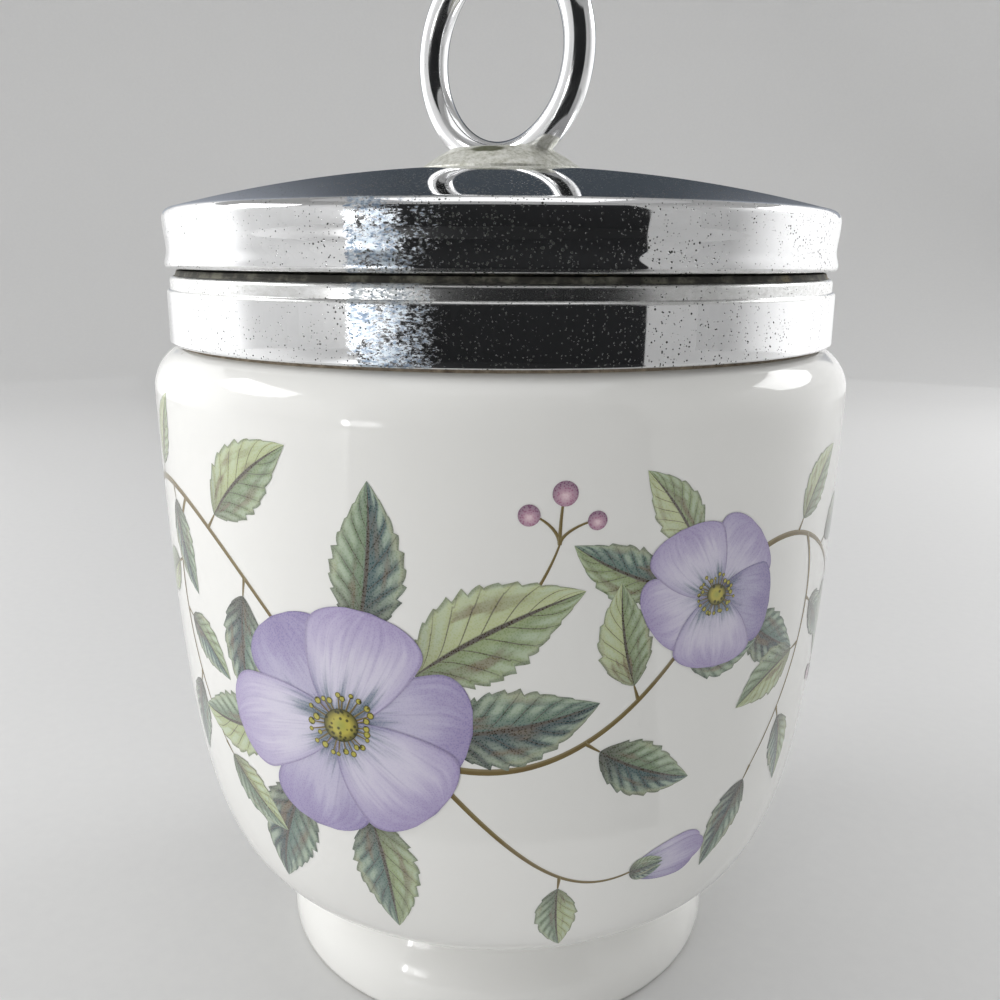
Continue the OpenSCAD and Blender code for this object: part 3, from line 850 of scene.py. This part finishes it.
class Print:
    """A transfer print on the bowl. Its patches are drawn flat, in millimetres round the bowl from the
    middle of a spray and in height, and are laid on the glaze a few hundredths of a millimetre proud."""

    LIFT = 0.012
    LAYER = 0.004
    FOOT_CLEAR = 0.5
    SLOPE_STEP = 0.3

    def __init__(self, azimuth):
        self.azimuth = azimuth
        self.parts = {}
        side = np.array([p for p in cup_outside() if FOOT_H + self.FOOT_CLEAR < p[1]])[::-1]
        self.heights, self.radii = side[:, 1], side[:, 0]

    def on_glaze(self, points, layer):
        """Places and normals on the glaze of points that were drawn flat."""
        r = np.interp(points[..., 1], self.heights, self.radii)
        rise = np.interp(points[..., 1] + self.SLOPE_STEP, self.heights, self.radii)
        fall = np.interp(points[..., 1] - self.SLOPE_STEP, self.heights, self.radii)
        lean = np.arctan2(-(rise - fall), 2 * self.SLOPE_STEP)
        angle = self.azimuth + points[..., 0] / BELLY_R
        lift = self.LIFT + self.LAYER * layer
        out = r + lift * np.cos(lean)
        z = points[..., 1] + lift * np.sin(lean)
        place = np.stack([out * np.sin(angle), -out * np.cos(angle), z], -1) * MM
        normal = np.stack([np.cos(lean) * np.sin(angle), -np.cos(lean) * np.cos(angle), np.sin(lean)], -1)
        return place, normal

    def add(self, ink_name, grid, uv, layer, tone):
        place, normal = self.on_glaze(grid, layer)
        part = self.parts.setdefault(ink_name, {"place": [], "normal": [], "uv": [], "tone": [], "faces": []})
        rows, columns = grid.shape[:2]
        base = sum(len(tones) for tones in part["tone"])
        part["faces"] += [tuple(base + n for n in face) for face in grid_faces(rows, columns)]
        part["place"].append(place.reshape(-1, 3))
        part["normal"].append(normal.reshape(-1, 3))
        part["uv"].append(uv.reshape(-1, 2))
        part["tone"].append(np.full(rows * columns, tone))

    def blade(self, ink_name, base, heading, length, half_width, layer=0, tone=0.5, bend=0.0, squash=None,
              teeth=0, steps=(40, 12)):
        """A petal or leaf. Its width comes from half_width(u), and squash is a flower's matrix where that is
        seen aslant."""
        u = np.linspace(0, 1, steps[0] + 1)
        turn = math.radians(heading) + math.radians(bend) * u
        way = np.stack([np.cos(turn), np.sin(turn)], -1) * length / steps[0]
        middle = np.vstack([[0, 0], np.cumsum((way[1:] + way[:-1]) / 2, 0)])
        across = np.stack([-np.sin(turn), np.cos(turn)], -1)
        v = np.linspace(-1, 1, steps[1] + 1)
        width = half_width(u)
        grid = np.empty((len(u), len(v), 2))
        for k, side in enumerate(v):
            notch = 1.0
            if teeth:
                phase = np.mod(u * teeth + (0.4 if side > 0 else 0.0), 1)
                depth = 0.14 + 0.07 * np.sin(u * 19 + tone * 40 + side)
                notch = 1 + abs(side) ** 3 * depth * (phase - 0.6) * np.sin(math.pi * u) ** 0.5
            grid[:, k] = middle + across * (width * side * notch)[:, None]
        if squash is not None:
            grid = grid @ squash.T
        grid = grid + np.array(base)
        uv = np.stack(np.meshgrid(u, v, indexing="ij"), -1)
        self.add(ink_name, grid, uv, layer, tone)

    def stem(self, a, b, c, d, thick=0.5, layer=0, tone=0.5, steps=48):
        """A stem along a cubic curve, thinner towards its end."""
        middle = np.vstack([[xy(*a)], curve(xy(*a), xy(*b), xy(*c), xy(*d), steps)])
        way = np.gradient(middle, axis=0)
        way /= np.linalg.norm(way, axis=1)[:, None]
        across = np.stack([-way[:, 1], way[:, 0]], -1)
        u = np.linspace(0, 1, steps + 1)
        v = np.linspace(-1, 1, 3)
        width = thick / 2 * (1 - 0.6 * u)
        grid = middle[:, None] + across[:, None] * width[:, None, None] * v[None, :, None]
        self.add("stem", grid, np.stack(np.meshgrid(u, v, indexing="ij"), -1), layer, tone)

    def dot(self, ink_name, centre, radius, layer, tone=0.5, squash=None, steps=(5, 24)):
        """A round spot: u runs from its middle to its edge, v is the sine of the angle."""
        u = np.linspace(0, 1, steps[0] + 1)
        angle = np.linspace(0, 2 * math.pi, steps[1] + 1)
        ring = np.stack([np.cos(angle), np.sin(angle)], -1)
        grid = u[:, None, None] * ring[None] * radius
        if squash is not None:
            grid = grid @ squash.T
        v = np.broadcast_to(np.sin(angle), (len(u), len(angle)))
        uv = np.stack([np.broadcast_to(u[:, None], v.shape), v], -1)
        self.add(ink_name, grid + np.array(centre), uv, layer, tone)

    def finish(self, name, inks):
        """Makes one piece of each ink."""
        for ink_name, part in self.parts.items():
            points = np.vstack(part["place"])
            obj = new_object(f"{name}_{ink_name}", points, part["faces"], "cup", inks[ink_name])
            mesh = obj.data
            patch = mesh.attributes.new("patch", "FLOAT_VECTOR", "POINT")
            flat = np.hstack([np.vstack(part["uv"]), np.zeros((len(points), 1))])
            patch.data.foreach_set("vector", flat.ravel())
            tone = mesh.attributes.new("tone", "FLOAT", "POINT")
            tone.data.foreach_set("value", np.concatenate(part["tone"]))
            mesh.shade_smooth()
            normals = [tuple(n) for n in np.vstack(part["normal"])]
            mesh.normals_split_custom_set_from_vertices(normals)


def petal_width(width, tip=0.62):
    """Narrow at the base, widest towards the tip, with a blunt rounded end."""
    def of(u):
        swell = np.sin(math.pi * u**tip * 0.5) ** 1.1
        close = np.sqrt(np.clip(1 - np.clip((u - 0.7) / 0.3, 0, 1) ** 2, 0, 1))
        return width / 2 * np.maximum(swell * close, 0.02)
    return of


def leaf_width(width, fullness=0.85):
    """Widest below the middle, drawn out to a point."""
    def of(u):
        return width / 2 * np.maximum(np.sin(math.pi * u**fullness) ** 0.9 * (1 - 0.25 * u), 0.004)
    return of


def flower(print_, centre, radius, petals, turn, aslant, lean, seed, layer=12):
    """An open flower with overlapping petals, seen aslant, with a dark-ringed heart and stamens."""
    chance = np.random.default_rng(seed)
    cos, sin = math.cos(math.radians(lean)), math.sin(math.radians(lean))
    rotate = np.array([[cos, -sin], [sin, cos]])
    squash = rotate @ np.diag([1, aslant]) @ rotate.T
    for back in (True, False):
        for i in range(petals):
            if (i % 2 == 0) != back:
                continue
            heading = turn + 360 * i / petals + chance.uniform(-7, 7)
            length = radius * chance.uniform(0.92, 1.06)
            width = radius * (1.15 if petals < 6 else 0.92) * chance.uniform(0.9, 1.08)
            print_.blade("petal", centre, heading, length, petal_width(width), layer + i % 2 * petals + i,
                         chance.uniform(0.0, 0.5) + 0.45 * back, chance.uniform(-14, 14), squash)
    heart = layer + 2 * petals + 2
    for i in range(STAMENS):
        angle = 2 * math.pi * (i + chance.uniform(-0.3, 0.3)) / STAMENS
        out = radius * chance.uniform(0.19, 0.28)
        way = squash @ (out * xy(math.cos(angle), math.sin(angle)))
        start, spot = centre + way / 2, centre + way
        print_.stem(start, start, spot, spot, radius * 0.016, heart, 0.1, 4)
        print_.dot("heart", spot, radius * chance.uniform(0.018, 0.03), heart + 1, 0.5, None, (2, 10))
    print_.dot("heart", centre, radius * 0.14, heart + 2, 0.5, squash, (6, 28))


def bud(print_, base, heading, length, seed, layer=6):
    """A closed bud: three narrow petals in a green cup."""
    chance = np.random.default_rng(seed)
    for k, off in enumerate((-16, 15, 0)):
        long = length * (1 - 0.06 * abs(k - 2))
        print_.blade("petal", base, heading + off, long, petal_width(length * 0.36, 0.5), layer + k,
                     chance.uniform(0.2, 0.9), -off * 1.3)
    for k, off in enumerate((-30, 28, 2)):
        print_.blade("leaf", base, heading + off, length * 0.42, leaf_width(length * 0.2, 0.7), layer + 4 + k,
                     chance.uniform(0.2, 0.8), -off * 1.6)


def leaf(print_, base, heading, length, tone, bend, layer):
    """A toothed leaf, with more teeth the longer it is."""
    teeth = max(5, round(length * 0.7))
    width = leaf_width(length * LEAF_SHARE)
    print_.blade("leaf", base, heading, length, width, layer, tone, bend, None, teeth, (teeth * 8, 14))


def towards(heading):
    """A step of 1 mm on the flat print, at an angle in degrees."""
    return xy(math.cos(math.radians(heading)), math.sin(math.radians(heading)))


def on_stem(stem, t):
    """Point on a stem and the stem's heading there."""
    a, b, c, d = [xy(*p) for p in stem[:4]]
    s = 1 - t
    way = s * s * (b - a) + 2 * s * t * (c - b) + t * t * (d - c)
    return cubic(a, b, c, d, t), math.degrees(math.atan2(way[1], way[0]))


def sprig(print_, stem, rows):
    """A stem with leaves on short stalks: place on the stem, angle to it, length, tone, bend, layer."""
    print_.stem(*stem[:4], stem[4], 1, 0.5)
    for t, angle, length, tone, bend, layer in rows:
        at, heading = on_stem(stem, t)
        heading += angle
        way = towards(heading)
        base = at + way * length * STALK
        print_.stem(at, at + way * 0.5, base - way * 0.5, base, 0.42, 1, 0.4, 8)
        leaf(print_, base, heading, length, tone, bend, layer)


def ruff(print_, centre, out, rows):
    """Leaves that come out from under a flower: heading, length, tone, bend, layer."""
    for heading, length, tone, bend, layer in rows:
        leaf(print_, centre + out * towards(heading), heading, length, tone, bend, layer)


def berries(print_, stem, rows):
    """Small round fruits on stalks from the end of a stem: place beside that end, and radius."""
    print_.stem(*stem[:4], stem[4], 1, 0.5)
    end = xy(*stem[3])
    for s, z, r in rows:
        spot = end + xy(s, z)
        print_.stem(end, end + xy(0, z / 2), spot - xy(s / 3, 0), spot, 0.34, 4, 0.3, 10)
        print_.dot("berry", spot, r, 6)


def front_spray(print_):
    """A wide flower low on the left and a smaller one higher on the right, on a stem that dips between."""
    left = ((-52, 56), (-38, 64), (-27, 56), (-15, 41), 0.8)
    middle = ((-15, 41), (2, 31), (12, 40), (20.5, 52), 0.8)
    right = ((20.5, 52), (30, 60), (39, 55), (51, 44), 0.7)
    droop_left, droop_right = on_stem(left, 0.42)[0], on_stem(right, 0.5)[0]
    wide, small = xy(-15, 40), xy(20.5, 52)
    sprig(print_, left, (
        (0.2, 62, 9, 0.1, -20, 2),
        (0.32, -70, 10, 0.75, 22, 2),
        (0.55, 78, 13, 0.2, -22, 4),
        (0.7, -62, 12, 0.85, 18, 3),
    ))
    sprig(print_, (droop_left, droop_left + xy(-6, -7), (-39, 41), (-33, 33), 0.5), (
        (0.3, -58, 9, 0.2, 22, 3),
        (0.5, 60, 9, 0.6, -20, 3),
        (0.74, -52, 10, 0.9, 20, 4),
        (1.0, 8, 10, 0.35, 16, 5),
    ))
    sprig(print_, middle, (
        (0.56, -64, 11, 0.7, 20, 3),
        (0.72, 66, 10, 0.15, -18, 4),
        (0.84, -58, 9, 0.4, 18, 5),
    ))
    sprig(print_, right, (
        (0.42, 64, 9.5, 0.2, -24, 2),
        (0.66, 56, 9, 0.65, -20, 3),
        (0.82, -60, 9, 0.3, 18, 3),
    ))
    sprig(print_, (droop_right, droop_right + xy(4, -6), (36, 41), (29, 32), 0.5), (
        (0.35, 62, 9, 0.8, -20, 3),
        (0.55, -60, 10, 0.25, 20, 4),
        (0.8, 58, 9, 0.55, -18, 3),
        (1.0, 6, 10, 0.85, 14, 4),
    ))
    sprig(print_, ((-6, 36), (2, 27), (7, 22), (14, 24), 0.55), ((0.6, -66, 9, 0.3, 22, 3),))
    ruff(print_, wide, 9.5, (
        (38, 17, 0.12, -20, 5),
        (76, 14, 0.7, 16, 4),
        (2, 15, 0.85, 18, 3),
        (196, 13, 0.3, -18, 4),
        (236, 15, 0.9, 16, 5),
        (284, 14, 0.5, -18, 4),
    ))
    ruff(print_, small, 5.5, ((164, 10, 0.5, -20, 3), (118, 9, 0.1, 18, 4), (322, 10.5, 0.9, 18, 4)))
    flower(print_, wide, 13.5, 6, 12, 0.88, 20, 3)
    flower(print_, small, 8.4, 5, 50, 0.85, -30, 5)
    bud(print_, (14, 24), 6, 9.5, 9)
    berries(print_, ((-2, 46), (2, 52), (4, 55), (5, 58), 0.45),
            ((-2.6, 2.6, 0.95), (0.4, 4.4, 1.1), (3.2, 2, 0.85)))
    berries(print_, (on_stem(right, 0.9)[0], (47, 44), (46, 41), (45, 39), 0.4),
            ((-2.2, -1.4, 0.9), (0.8, -2.6, 1.05)))


def back_spray(print_):
    """A smaller spray with one flower in the middle and a leafy stem that rises to either side."""
    left = ((-33, 57), (-22, 51), (-10, 45), (2, 42), 0.75)
    right = ((2, 42), (12, 37), (18, 43), (28, 34), 0.7)
    sprig(print_, left, (
        (0.06, 60, 9, 0.3, -20, 2),
        (0.2, -64, 10, 0.8, 20, 3),
        (0.4, 62, 12, 0.15, -20, 3),
        (0.62, -60, 10, 0.5, 18, 2),
    ))
    sprig(print_, right, (
        (0.5, 66, 11, 0.2, -20, 3),
        (0.72, -62, 10, 0.7, 18, 3),
        (0.86, 58, 8, 0.35, -20, 2),
    ))
    middle = xy(2, 42)
    ruff(print_, middle, 7.5, (
        (48, 13, 0.85, -18, 4),
        (112, 11, 0.25, 18, 3),
        (226, 12, 0.55, 18, 4),
        (300, 12, 0.9, -16, 4),
    ))
    flower(print_, middle, 10.5, 5, 20, 0.9, -15, 11)
    bud(print_, (28, 34), -40, 8.5, 13)
    berries(print_, (on_stem(left, 0.55)[0], (-15, 40), (-13, 34), (-15, 30), 0.45),
            ((-2.2, -2.4, 1.1), (0.4, -4.2, 0.95), (2.6, -1.8, 1.0)))


# ---- build

PORCELAIN = porcelain()
CHROME_COLLAR = chrome("chrome_collar", 0.85, COLLAR_TOP + 1, SHOULDER_TOP + GRIME_H + 0.15)
CHROME_LID = chrome("chrome_lid", 1.0, SKIRT_Z + 0.5, SKIRT_Z + 0.4)
CHROME_LOOP = chrome("chrome_loop", 0.3, blur=0.1)
STEEL = plain_metal("plain_steel", (0.52, 0.51, 0.49), 0.3)
SOLDER = solder_metal()
CEMENT = cement()
INKS = {
    "petal": ink("print_petal", petal_colour),
    "leaf": ink("print_leaf", leaf_colour),
    "stem": ink("print_stem", stem_colour),
    "heart": ink("print_heart", heart_colour),
    "berry": ink("print_berry", berry_colour),
}


def make_cup():
    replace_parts(turned("porcelain_cup", cup_outline(), "cup", PORCELAIN), "cup")
    for name, azimuth, draw in (("front_print", 0, front_spray), ("back_print", math.pi, back_spray)):
        spray = Print(CAMERA_AZIMUTH + azimuth)
        draw(spray)
        spray.finish(name, INKS)


def make_collar():
    band = turned("collar_band", collar_outline(), "cup", CHROME_COLLAR)
    low = SHOULDER_TOP + STEP_ROUND + RIDGE_FOOT / 2
    high = COLLAR_TOP - LIP_ROUND - RIDGE_FOOT / 2
    points, faces = ridge(COLLAR_NECK_R, low, (high - low) / PITCH)
    thread = new_object("collar_thread", points, faces, "cup", CHROME_COLLAR)
    smooth(thread)
    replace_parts(band, "collar")


def make_lid():
    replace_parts(turned("lid_dome", lid_outline(), "lid", CHROME_LID), "lid_cap")
    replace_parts(turned("boss_flare", boss_outline(), "lid", SOLDER, 96), "loop_boss")
    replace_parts(torus("loop_rod", "lid", CHROME_LOOP), "lifting_loop")
    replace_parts(mound("solder_mound", "lid", SOLDER), "loop_solder")


def dress_nodes():
    """Gives the solids that the scene doesn't replace their materials."""
    for node, material in (
        ("collar_cement", CEMENT),
        ("lid_thread_ring", STEEL),
        ("loop_rivet", STEEL),
        ("rivet_washer", STEEL),
    ):
        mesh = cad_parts[node].data
        mesh.materials.clear()
        mesh.materials.append(material)


# ---- studio

FLOOR_R = 500
WALL_TURN = 300
WALL_TOP = 1200
FRONT_CARD = ((60, 1), (450, 1), (450, 430))
BACK_CARD = ((450, 118), (450, 430))
SIDE_CARD = ((560, 5), (560, 420))
BACK_AZIMUTH = 178
BACK_FADE = (7, 31)
GLOW_CORE = 2
WORLD_LIGHT = 0.48
AIM = (0, 0, 50)


def make_camera():
    data = bpy.data.cameras.new("camera")
    data.lens = CAMERA_LENS
    data.sensor_width = CAMERA_SENSOR
    data.clip_start = CAMERA_NEAR * MM
    camera = bpy.data.objects.new("camera", data)
    camera.location = at_azimuth(CAMERA_AZIMUTH, CAMERA_OUT, CAMERA_HEIGHT)
    level = Euler((math.pi / 2 - CAMERA_PITCH, 0, CAMERA_AZIMUTH)).to_matrix()
    camera.rotation_euler = (level @ Matrix.Rotation(CAMERA_ROLL, 3, "Z")).to_euler()
    bpy.context.scene.collection.objects.link(camera)
    bpy.context.scene.camera = camera


def softbox(name, azimuth, out, height, width, tall, power):
    """A lamp at an azimuth in degrees from the camera's, which faces the object."""
    data = bpy.data.lights.new(name, "AREA")
    data.shape = "RECTANGLE"
    data.size = width * MM
    data.size_y = tall * MM
    data.energy = power
    lamp = bpy.data.objects.new(name, data)
    lamp.location = at_azimuth(from_camera(azimuth), out, height)
    way = Vector(AIM) * MM - lamp.location
    lamp.rotation_euler = way.to_track_quat("-Z", "Y").to_euler()
    bpy.context.scene.collection.objects.link(lamp)


def make_stage(steps=96):
    """A pale floor that sweeps up into a pale wall all round."""
    g = Graph("studio_floor")
    grain = g.noise(g.place(), 500, 4)
    g.set(Base_Color=g.mix(grain, (0.66, 0.66, 0.66, 1), (0.70, 0.70, 0.695, 1)), Roughness=0.5)
    turn = arc((FLOOR_R, WALL_TURN), WALL_TURN, -90, 0, 16)
    ring = np.array([xy(0, 0), xy(FLOOR_R, 0)] + turn + [xy(FLOOR_R + WALL_TURN, WALL_TOP)]) * MM
    points = []
    for i in range(steps):
        a = 2 * math.pi * i / steps
        points += [(r * math.cos(a), r * math.sin(a), z) for r, z in ring]
    stage = mesh_object("stage", points, grid_faces(steps, len(ring), around=True), g.material)
    smooth(stage)


def card(name, azimuth, spread, profile, material, steps=24):
    """A curved card of the studio that only reflections see, spread degrees to either side of an azimuth.
    Its profile runs through (radius, height)."""
    points = []
    for i in range(steps + 1):
        a = from_camera(azimuth + spread * (2 * i / steps - 1))
        points += [at_azimuth(a, *p) for p in profile]
    obj = mesh_object(name, points, grid_faces(steps + 1, len(profile)), material)
    obj.visible_camera = False
    obj.visible_diffuse = False
    obj.visible_shadow = False


def card_paint(name, colour):
    g = Graph(name)
    g.set(Base_Color=(*colour, 1), Roughness=0.9)
    return g.material


def back_paint():
    """Dark blue-grey that pales towards the sides of its card."""
    g = Graph("card_back")
    dark = facing(g, g.place(), from_camera(BACK_AZIMUTH), *BACK_FADE)
    g.set(Base_Color=g.mix(dark, (0.5, 0.53, 0.6, 1), (0.043, 0.055, 0.07, 1)), Roughness=0.9)
    return g.material


def glow(name, azimuth, reach, strength, tone):
    """A grey card with a light round one azimuth, which fades out over an angle of reach."""
    g = Graph(name)
    fade = facing(g, g.place(), from_camera(azimuth), GLOW_CORE, reach)
    g.set(Base_Color=(tone, tone, tone, 1), Roughness=0.9, Emission_Color=(1, 1, 1, 1))
    g.set(Emission_Strength=g.times(fade, strength))
    return g.material


def make_cards():
    """Dark in front of the object and grey behind it, for the chrome to mirror as it does in the photograph,
    with a soft glow to either side."""
    front = card_paint("card_dark", (0.003, 0.0035, 0.0045))
    card("card_front", 0, 44, FRONT_CARD, front)
    card("card_back", BACK_AZIMUTH, 34, BACK_CARD, back_paint())
    card("glow_left", -101, 55, SIDE_CARD, glow("glow_left", -115, 34, 1.0, 0.88))
    card("glow_right", 112, 50, SIDE_CARD, glow("glow_right", 122, 50, 0.8, 0.54))


def make_light():
    world = bpy.data.worlds.new("studio")
    world.use_nodes = True
    background = world.node_tree.nodes["Background"].inputs
    background["Color"].default_value = (1, 1, 1, 1)
    background["Strength"].default_value = WORLD_LIGHT
    bpy.context.scene.world = world
    softbox("key", -40, 480, 60, 96, 64, 0.5)
    softbox("overhead", 0, 60, 950, 700, 700, 1.25)
    softbox("left", -92, 560, 300, 340, 360, 2)
    softbox("right", 116, 560, 240, 300, 380, 1.5)
    bpy.context.scene.view_settings.view_transform = "Standard"


make_camera()
make_cup()
make_collar()
make_lid()
dress_nodes()
make_stage()
make_cards()
make_light()
